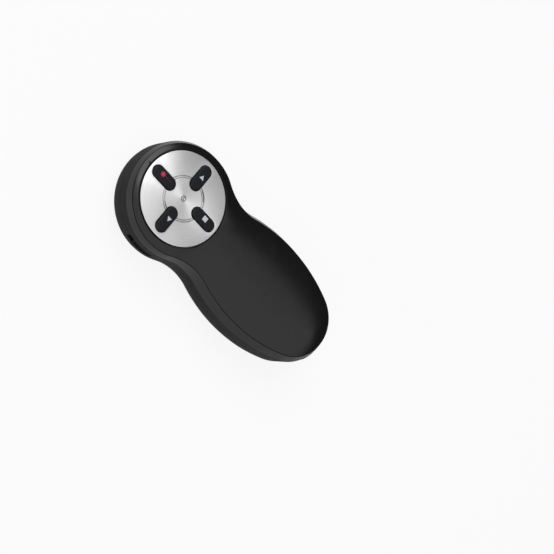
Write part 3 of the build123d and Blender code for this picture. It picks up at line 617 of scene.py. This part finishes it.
spun, tree, principled = shader("spun_aluminium")
place = add_node(tree, "ShaderNodeTexCoord").outputs["Object"]
centred = add_node(tree, "ShaderNodeMapping", {"Vector": place, "Location": (0, -disc_y * mm, 0)})
flat = vector_maths(tree, "MULTIPLY", centred.outputs["Vector"], (1, 1, 0))
radius = add_node(tree, "ShaderNodeVectorMath", {0: flat}, operation="LENGTH").outputs["Value"]
radial = add_node(tree, "ShaderNodeVectorMath", {0: flat}, operation="NORMALIZE").outputs["Vector"]
# the tool's rings break up along their length, so the noise runs on radius with a slow turn round the disc
track = add_node(tree, "ShaderNodeCombineXYZ", {"Z": radius}).outputs["Vector"]
path = vector_maths(tree, "ADD", vector_maths(tree, "SCALE", radial, 0.0004), track)
cut = noise(tree, path, 5000, 3, 0.7)
push = vector_maths(tree, "SCALE", radial, ramp(tree, cut, 0.3, 0.7, -0.05, 0.05))
leaned = vector_maths(tree, "ADD", add_node(tree, "ShaderNodeNewGeometry").outputs["Normal"], push)
level = add_node(tree, "ShaderNodeVectorMath", {0: leaned}, operation="NORMALIZE").outputs["Vector"]
tree.links.new(level, principled.inputs["Normal"])
shade = ramp(tree, cut, 0.3, 0.7, 0.85, 0.94)
# painted shade: darker bands in the corners of the groove, in the ring of the centre mark and in the pit at
# the centre, broken up round the disc
painted_shade_breakup = ramp(tree, noise(tree, radial, 1.7, 3, 0.6), 0.42, 0.58, 0.5, 1.0)
painted_groove_shade_bands = ((groove_in, 0.19, 0.95), (groove_out, 0.2, 1.0), (0.95, 0.22, 1.0), (0.1, 0.28, 1.0))
for at, half, strength in painted_groove_shade_bands:
    near = maths(tree, "ABSOLUTE", maths(tree, "SUBTRACT", radius, at * mm))
    band = ramp(tree, near, half * 0.5 * mm, half * 1.3 * mm, strength, 0.0)
    left_after_painted_shade = maths(tree, "SUBTRACT", 1.0, maths(tree, "MULTIPLY", band, painted_shade_breakup))
    shade = maths(tree, "MULTIPLY", shade, left_after_painted_shade)
# painted shade: the rim and the foot of its chamfer are painted near black and made dull, standing for the
# shadow in the gap round the disc; the rest of the face is bare metal
spot_z = add_node(tree, "ShaderNodeSeparateXYZ", {"Vector": place}).outputs["Z"]
on_face = ramp(tree, spot_z, (face_z - 0.1) * mm, (face_z - 0.02) * mm)
bare_of_painted_shade = maths(tree, "MAXIMUM", on_face, maths(tree, "LESS_THAN", radius, (disc_r - 0.4) * mm))
tree.links.new(bare_of_painted_shade, principled.inputs["Metallic"])
# painted shade: near black on the rim below the face
shade = maths(tree, "MULTIPLY", shade, ramp(tree, bare_of_painted_shade, 0, 1, 0.012, 1.0))
tone = add_node(tree, "ShaderNodeCombineColor", {"Red": shade, "Green": shade, "Blue": shade})
tree.links.new(tone.outputs["Color"], principled.inputs["Base Color"])
matt = maths(tree, "ADD", ramp(tree, cut, 0, 1, 0.42, 0.54), ramp(tree, bare_of_painted_shade, 0, 1, 0.45, 0))
tree.links.new(matt, principled.inputs["Roughness"])
around = add_node(tree, "ShaderNodeTangent", direction_type="RADIAL", axis="Z")
tree.links.new(around.outputs["Tangent"], principled.inputs["Tangent"])
principled.inputs["Anisotropic"].default_value = 0.7
principled.inputs["Anisotropic Rotation"].default_value = 0.25
finish_piece(face_plate, "pod", spun, ["face_disc"])

# ---------------------------------------------------------------- keys
# Four pill-shaped ABS keys, matt blue-black with a rolled edge. Each has a flange under the plate and a post
# that presses the switch's nylon stem. The marks are printed on: a laser burst, two arrows and a square.
key_top_z = 22.1
flange_low, flange_top, flange_lip = 17.25, 18.25, 0.9
edge = 0.62
post_low, post_top, key_post_r = 16.9, flange_low + 0.2, 1.3
key_finish = dict(grain_scale=4200, grain_depth=0.008, specular=0.22)
key_black = plastic("matt_key_abs", (0.008, 0.009, 0.012), 0.55, **key_finish)
white_ink = plastic("pale_grey_ink", (0.60, 0.62, 0.66), 0.5, mottle=0.06, marks=0.04)
red_ink = plastic("red_ink", (0.50, 0.035, 0.075), 0.5, mottle=0.08, marks=0.04)
dull_red_ink = plastic("dull_red_ink", (0.11, 0.014, 0.022), 0.5, mottle=0.08, marks=0.04)
levels = [(flange_low, flange_lip), (flange_top, flange_lip), (flange_top, 0.0), (key_top_z - edge, 0.0)]
for n in range(1, 7):
    a = radians(n * 14)
    levels.append((key_top_z - edge + edge * sin(a) * 0.98, -edge * (1 - cos(a))))
levels += [(key_top_z - 0.008, -0.85), (key_top_z - 0.002, -1.25), (key_top_z, -1.7)]
for key, (angle, reach) in keys.items():
    cap = solid(f"{key}_key", *pill(key_place[key], angle, levels, key_len, key_w, 22))
    post = [(0, post_low), (key_post_r, post_low), (key_post_r, post_top), (0, post_top)]
    carve(cap, turned(post, (*key_place[key], 0), count=40), "UNION")
    finish_piece(cap, f"{key}_key", key_black, [f"{key}_button"])


def printed(name, outline, centre, key, ink):
    """A printed mark: a flat outline in millimetres round a centre, a hair above the key's top."""
    low, high = key_top_z - 0.03, key_top_z + 0.012
    n = len(outline)
    points = [(centre[0] + x, centre[1] + y, z) for z in (low, high) for x, y in outline]
    faces = [(k, (k + 1) % n, n + (k + 1) % n, n + k) for k in range(n)]
    faces += [range(n), range(2 * n - 1, n - 1, -1)]
    finish_piece(solid(name, points, faces), f"{key}_key", ink)


def rectangle(half_x, half_y):
    """Outline of a rectangle."""
    return [(-half_x, -half_y), (half_x, -half_y), (half_x, half_y), (-half_x, half_y)]


burst = []
for k in range(32):
    r = 0.66 if k % 2 else 1.52 - 0.36 * (k % 4 == 2)
    burst.append((r * cos(pi * k / 16), r * sin(pi * k / 16)))
printed("laser_burst", burst, (0.3, disc_y + 12.9), "laser", red_ink)
arrow = [(0.92, 0), (-0.86, 1.06), (-0.86, -1.06)]
printed("next_arrow", arrow, (11.35, disc_y), "next", white_ink)
printed("previous_arrow", [(-x, -y) for x, y in arrow], (-10.75, disc_y - 0.3), "previous", white_ink)
printed("blank_square", rectangle(1.03, 1.03), (0.35, disc_y - 11.6), "blank", white_ink)
for n in range(4):
    centre = (0.25, disc_y + 10.9 - n * 0.8)
    printed(f"laser_dash_{n + 1}", rectangle(0.13, 0.24), centre, "laser", dull_red_ink)

# ---------------------------------------------------------------- receiver
# USB receiver that parks in the tail: two ABS half-shells with rolled edges, ultrasonically welded along a
# seam, and grooved at the end for the fingers. The plug and what is inside keep their CAD shapes.
receiver_z, seam_w = 16.1, 0.18
case = nodes["receiver_case"]
mesh = case.data.copy()
mesh.transform(case.matrix_world)
shape = bmesh.new()
shape.from_mesh(mesh)
bmesh.ops.remove_doubles(shape, verts=shape.verts, dist=1e-6)
bmesh.ops.dissolve_limit(shape, angle_limit=radians(1), verts=shape.verts, edges=shape.edges)
case_sides = [pick(v.co.x for v in shape.verts) / mm for pick in (min, max)]
case_front_y = max(v.co.y for v in shape.verts) / mm
corners = [e for e in shape.edges if len(e.link_faces) == 2 and e.calc_face_angle(0) > radians(40)]
rolled = dict(offset=0.22 * mm, segments=3, profile=0.5, affect="EDGES", clamp_overlap=True)
bmesh.ops.bevel(shape, geom=corners, **rolled)
shape.to_mesh(mesh)
shape.free()
receiver_cover = bpy.data.objects.new("receiver_cover", mesh)
bpy.context.scene.collection.objects.link(receiver_cover)
seam_z = (receiver_z - seam_w / 2, receiver_z + seam_w / 2)
for x in case_sides:
    carve(receiver_cover, block((x - seam_w, x + seam_w), (-60, case_front_y + 1), seam_z))
receiver_finish = dict(grain_scale=2600, grain_depth=0.012, specular=0.22)
receiver_black = plastic("receiver_abs", (0.010, 0.0098, 0.0096), 0.66, **receiver_finish)
finish_piece(receiver_cover, "receiver", receiver_black, ["receiver_case"])

# ---------------------------------------------------------------- screws
# Six self-tapping steel screws, zinc-plated black: a pan head with a cross recess and a coarse thread. Four
# hold the shells together from below, two hold the circuit board on its posts.
thread_pitch, thread_deep, tip_len = 0.8, 0.22, 1.2


def screw_pattern(name, length):
    """One screw, head up, with the underside of its head at height 0."""
    root_r, rim_r = screw_r - thread_deep, screw_head_r - 0.12
    profile = [(0, -length), (0.25, -length)]
    for n in range(int((length - tip_len - 0.4) / thread_pitch)):
        z = -length + tip_len + n * thread_pitch
        profile += [(root_r, z), (screw_r, z + 0.3), (screw_r, z + 0.38), (root_r, z + 0.68)]
    profile += [(root_r, -0.3), (screw_r - 0.05, 0), (rim_r, 0), (screw_head_r, 0.14), (screw_head_r, 0.6)]
    profile += [(rim_r, 0.9), (screw_head_r - 0.5, 1.18), (screw_head_r - 1.1, 1.3), (0, 1.3)]
    pattern = solid(name, *turned(profile, count=36))
    for x, y in ((1.0, 0.2), (0.2, 1.0)):
        carve(pattern, block((-x, x), (-y, y), (0.55, 2)))
    carve(pattern, turned([(0, 0.35), (0.2, 0.55), (0.5, 1.4), (0, 1.4)], count=16))
    return pattern


def set_out(name, centres, seat_z, length, turn, finish, replaced):
    """A set of screws on its centres: Geometry Nodes sets one pattern out on points, made a plain mesh."""
    pattern = screw_pattern(name + "_pattern", length)
    points = bpy.data.meshes.new(name)
    points.from_pydata([(x * mm, y * mm, seat_z * mm) for x, y in centres], [], [])
    piece = bpy.data.objects.new(name, points)
    bpy.context.scene.collection.objects.link(piece)
    tree = bpy.data.node_groups.new(name + "_nodes", "GeometryNodeTree")
    kinds = {"Geometry": "Geometry", "Pattern": "Object", "Turn": "Vector", "Finish": "Material"}
    for label, kind in kinds.items():
        tree.interface.new_socket(label, in_out="INPUT", socket_type="NodeSocket" + kind)
    tree.interface.new_socket("Geometry", in_out="OUTPUT", socket_type="NodeSocketGeometry")
    given, made = tree.nodes.new("NodeGroupInput").outputs, tree.nodes.new("NodeGroupOutput")
    shape = add_node(tree, "GeometryNodeObjectInfo", {"Object": given["Pattern"]}).outputs["Geometry"]
    spin = add_node(tree, "FunctionNodeRandomValue", {2: 0.0, 3: 2 * pi, "Seed": 5}, data_type="FLOAT")
    own = add_node(tree, "ShaderNodeCombineXYZ", {"Z": spin.outputs[1]}).outputs["Vector"]
    whole = vector_maths(tree, "ADD", given["Turn"], own)
    inputs = {"Points": given["Geometry"], "Instance": shape, "Rotation": whole}
    placed = add_node(tree, "GeometryNodeInstanceOnPoints", inputs).outputs["Instances"]
    real = add_node(tree, "GeometryNodeRealizeInstances", {"Geometry": placed}).outputs["Geometry"]
    dressed = add_node(tree, "GeometryNodeSetMaterial", {"Geometry": real, "Material": given["Finish"]})
    tree.links.new(dressed.outputs["Geometry"], made.inputs["Geometry"])
    step = piece.modifiers.new("set_out", "NODES")
    step.node_group = tree
    values = {"Pattern": pattern, "Turn": turn, "Finish": finish}
    for socket in tree.interface.items_tree:
        if socket.in_out == "INPUT" and socket.name in values:
            step[socket.identifier] = values[socket.name]
    settle(piece)
    bpy.data.objects.remove(pattern)
    finish_piece(piece, "pod", finish, [replaced])


head_down, head_up = (pi, 0, 0), (0, 0, 0)
board_seat_z = board_low + 1.6
black_zinc = plastic("black_zinc_plate", (0.03, 0.03, 0.032), 0.35, grain_scale=2500, grain_depth=0.004)
black_zinc.node_tree.nodes["Principled BSDF"].inputs["Metallic"].default_value = 0.85
set_out("case_screw_set", case_screws, screw_seat_z, 12.0, head_down, black_zinc, "case_screws")
set_out("board_screw_set", board_screws, board_seat_z, 5.0, head_up, black_zinc, "board_screws")

# ---------------------------------------------------------------- finishes of the carried nodes
# What the covers hide is real too: boards, cells, springs, contacts, switches, the laser and the plug. Each
# node keeps its CAD shape and takes the finish of its own material.


def metal(name, colour, roughness, streak):
    """Drawn, folded or turned metal, with streaks that follow the way it was worked."""
    material, tree, principled = shader(name)
    place = add_node(tree, "ShaderNodeTexCoord").outputs["Object"]
    drawn = add_node(tree, "ShaderNodeMapping", {"Vector": place, "Scale": streak}).outputs["Vector"]
    lines = noise(tree, drawn, 1, 4, 0.65)
    low, high = [(*(c * k for c in colour), 1) for k in (0.88, 1.12)]
    tree.links.new(blend(tree, lines, low, high), principled.inputs["Base Color"])
    matt = ramp(tree, lines, 0, 1, roughness - 0.08, roughness + 0.1)
    tree.links.new(matt, principled.inputs["Roughness"])
    bump = add_node(tree, "ShaderNodeBump", {"Height": lines, "Distance": 0.004 * mm, "Strength": 1})
    tree.links.new(bump.outputs["Normal"], principled.inputs["Normal"])
    principled.inputs["Metallic"].default_value = 1
    return material


def clear(name, colour, roughness):
    """Clear or smoked acrylic and glass, with faint moulding haze in its gloss."""
    material, tree, principled = shader(name)
    haze = noise(tree, add_node(tree, "ShaderNodeTexCoord").outputs["Object"], 700, 3)
    tree.links.new(ramp(tree, haze, 0, 1, roughness, roughness + 0.08), principled.inputs["Roughness"])
    tint = blend(tree, haze, (*colour, 1), (*(c * 0.9 for c in colour), 1))
    tree.links.new(tint, principled.inputs["Base Color"])
    principled.inputs["Transmission Weight"].default_value = 0.6
    return material


def base_parts(material):
    """What a plastic is painted over with: its tree, shader, Object coordinates and colour."""
    tree = material.node_tree
    principled = tree.nodes["Principled BSDF"]
    place = tree.nodes["Texture Coordinate"].outputs["Object"]
    return tree, principled, place, principled.inputs["Base Color"].links[0].from_socket


def printed_jacket(name):
    """Shrunk plastic jacket of a dry cell: black, with a copper band and a thin pale line at its plus end."""
    material = plastic(name, (0.03, 0.03, 0.033), 0.22, grain_scale=900, grain_depth=0.004, coat=0.5)
    tree, principled, place, colour = base_parts(material)
    apart = add_node(tree, "ShaderNodeSeparateXYZ", {"Vector": place}).outputs
    from_middle = maths(tree, "SUBTRACT", apart["Y"], (bay_rear_y + bay_front_y) / 2 * mm)
    # the two cells lie the opposite way round, so the plus end is to the rear on one side only
    toward_plus = maths(tree, "MULTIPLY", from_middle, maths(tree, "SIGN", apart["X"]))
    copper, pale_line = (0.45, 0.20, 0.07, 1), (0.6, 0.58, 0.52, 1)
    for start, stop, tone in ((-40, -10.5, copper), (-10.2, -9.8, pale_line)):
        over = maths(tree, "GREATER_THAN", toward_plus, start * mm)
        under = maths(tree, "LESS_THAN", toward_plus, stop * mm)
        colour = blend(tree, maths(tree, "MULTIPLY", over, under), colour, tone)
    tree.links.new(colour, principled.inputs["Base Color"])
    return material


def traced_board(name):
    """Glass-epoxy board under green solder mask: copper tracks show as paler lines, with a few gold pads."""
    mask_finish = dict(grain_scale=1500, grain_depth=0.01, mottle=0.4, coat=0.2)
    material = plastic(name, (0.012, 0.10, 0.045), 0.3, **mask_finish)
    tree, principled, place, colour = base_parts(material)
    cells = {"Vector": place, "Scale": 420, "Randomness": 0.85}
    layout = add_node(tree, "ShaderNodeTexVoronoi", cells, feature="DISTANCE_TO_EDGE").outputs["Distance"]
    traced = blend(tree, ramp(tree, layout, 0.05, 0.09, 0.8, 0), colour, (0.03, 0.21, 0.09, 1))
    spots = {"Vector": place, "Scale": 260, "Randomness": 0.3}
    dots = add_node(tree, "ShaderNodeTexVoronoi", spots, feature="F1").outputs["Distance"]
    pad = maths(tree, "LESS_THAN", dots, 0.16)
    tree.links.new(blend(tree, pad, traced, (0.62, 0.45, 0.18, 1)), principled.inputs["Base Color"])
    tree.links.new(pad, principled.inputs["Metallic"])
    return material


nickel = metal("nickel_plated_steel", (0.56, 0.55, 0.52), 0.3, (300, 2500, 300))
gold = metal("gold_flash", (0.72, 0.53, 0.22), 0.28, (1800, 200, 1800))
nylon = plastic("ivory_nylon", (0.62, 0.58, 0.48), 0.45)
mask_green = traced_board("solder_mask")
knob_finish = dict(grain_scale=3800, grain_depth=0.004, specular=0.05)
finishes = {
    "disc_film": plastic("adhesive_film", (0.02, 0.02, 0.02), 0.7, grain_scale=1800, grain_depth=0.02),
    "key_switches": plastic("switch_housing_nylon", (0.018, 0.018, 0.02), 0.4, grain_scale=4000),
    "laser_stem": nylon,
    "next_stem": nylon,
    "previous_stem": nylon,
    "blank_stem": nylon,
    "main_board": mask_green,
    "laser_board": mask_green,
    "receiver_board": mask_green,
    "control_chips": plastic("chip_epoxy", (0.016, 0.016, 0.018), 0.55, grain_scale=6000, grain_depth=0.01),
    "crystal": metal("crystal_can", (0.60, 0.59, 0.56), 0.28, (2500, 300, 300)),
    "capacitor": metal("drawn_can", (0.66, 0.66, 0.67), 0.3, (500, 500, 4000)),
    "status_led": plastic("led_moulding", (0.62, 0.56, 0.30), 0.3, grain_depth=0.004),
    "light_pipe": clear("smoked_light_pipe", (0.030, 0.020, 0.022), 0.12),
    "power_knob": plastic("knob_abs", (0.003, 0.005, 0.011), 0.7, **knob_finish),
    "power_switch": metal("tinned_switch_frame", (0.52, 0.52, 0.52), 0.34, (400, 3000, 400)),
    "laser_barrel": metal("turned_brass", (0.62, 0.45, 0.18), 0.25, (300, 6000, 300)),
    "laser_lens": clear("coated_lens", (0.75, 0.82, 0.9), 0.03),
    "laser_diode": gold,
    "laser_leads": plastic("lead_insulation", (0.35, 0.02, 0.02), 0.4),
    "laser_window": clear("dark_red_window", (0.10, 0.004, 0.006), 0.05),
    "battery_cells": printed_jacket("cell_jacket"),
    "cell_terminals": nickel,
    "contact_springs": metal("spring_wire", (0.62, 0.60, 0.55), 0.26, (3000, 3000, 600)),
    "tail_contact": nickel,
    "front_contacts": nickel,
    "receiver_sleeve": plastic("sleeve_abs", (0.03, 0.03, 0.031), 0.5),
    "usb_shell": metal("bright_plug_shell", (0.66, 0.66, 0.67), 0.22, (500, 3000, 500)),
    "usb_tongue": plastic("plug_tongue", (0.70, 0.70, 0.68), 0.4),
    "usb_contacts": gold,
}
for name, material in finishes.items():
    nodes[name].data.materials.clear()
    nodes[name].data.materials.append(material)

# ---------------------------------------------------------------- floor, light and camera
# A plain pale table under soft studio light. The table shows white to the camera and in reflections, and
# is clear from below.
table_half = 3.0
floor_mesh = bpy.data.meshes.new("floor")
corners = [(x * table_half, y * table_half, 0) for x, y in ((-1, -1), (1, -1), (1, 1), (-1, 1))]
floor_mesh.from_pydata(corners, [], [(0, 1, 2, 3)])
table = bpy.data.objects.new("floor", floor_mesh)
bpy.context.scene.collection.objects.link(table)
pale, tree, principled = shader("pale_floor")
principled.inputs["Base Color"].default_value = (0.88, 0.88, 0.88, 1)
principled.inputs["Roughness"].default_value = 0.9
principled.inputs["Specular IOR Level"].default_value = 0.1
rays = add_node(tree, "ShaderNodeLightPath").outputs
seen = rays["Is Camera Ray"]
for kind in ("Is Glossy Ray", "Is Transmission Ray"):
    seen = maths(tree, "MAXIMUM", seen, rays[kind])
seen = maths(tree, "MULTIPLY", seen, 0.88)
glow = add_node(tree, "ShaderNodeEmission", {"Color": (1, 1, 1, 1), "Strength": 1.0}).outputs["Emission"]
lit = add_node(tree, "ShaderNodeMixShader", {0: seen, 1: principled.outputs["BSDF"], 2: glow}).outputs[0]
under = add_node(tree, "ShaderNodeNewGeometry").outputs["Backfacing"]
nothing = add_node(tree, "ShaderNodeBsdfTransparent").outputs[0]
above_only = add_node(tree, "ShaderNodeMixShader", {0: under, 1: lit, 2: nothing}).outputs[0]
tree.links.new(above_only, tree.nodes["Material Output"].inputs["Surface"])
floor_mesh.materials.append(pale)

world = bpy.data.worlds.new("studio")
bpy.context.scene.world = world
world.use_nodes = True
world.node_tree.nodes["Background"].inputs["Color"].default_value = (1, 1, 1, 1)
world.node_tree.nodes["Background"].inputs["Strength"].default_value = 0.08


def facing(place, target):
    """The turn that faces a lamp or the camera from its place to a point."""
    return (Vector(target) - Vector(place)).to_track_quat("-Z", "Y")


pod_middle = (0, 0, 0.012)


def softbox(name, place, size, power):
    """A square area lamp that faces the pod."""
    lamp = bpy.data.lights.new(name, "AREA")
    lamp.shape, lamp.size, lamp.energy = "SQUARE", size, power
    holder = bpy.data.objects.new(name, lamp)
    bpy.context.scene.collection.objects.link(holder)
    holder.location = place
    holder.rotation_euler = facing(place, pod_middle).to_euler()
    holder.visible_camera = False


softbox("key_light", (0.42, 0.50, 0.78), 0.85, 5.7)
softbox("top_fill", (-0.30, -0.12, 1.0), 1.65, 6.8)
softbox("side_strip", (-0.60, 0.56, 0.165), 0.32, 2.3)

camera = bpy.data.objects.new("camera", bpy.data.cameras.new("camera"))
bpy.context.scene.collection.objects.link(camera)
bpy.context.scene.camera = camera
camera.data.sensor_width, camera.data.lens = 36.0, 97.5
camera.data.clip_start, camera.data.clip_end = 0.01, 20
camera_place, look_at, roll = (-216.35, 209.89, 522.47), (9.37, -22.30, 14.88), 88.418
camera.location = Vector(camera_place) * mm
camera.rotation_mode = "QUATERNION"
turn = Matrix.Rotation(radians(roll), 3, "Z").to_quaternion()
camera.rotation_quaternion = facing(camera_place, look_at) @ turn

bpy.context.scene.view_settings.view_transform = "Standard"
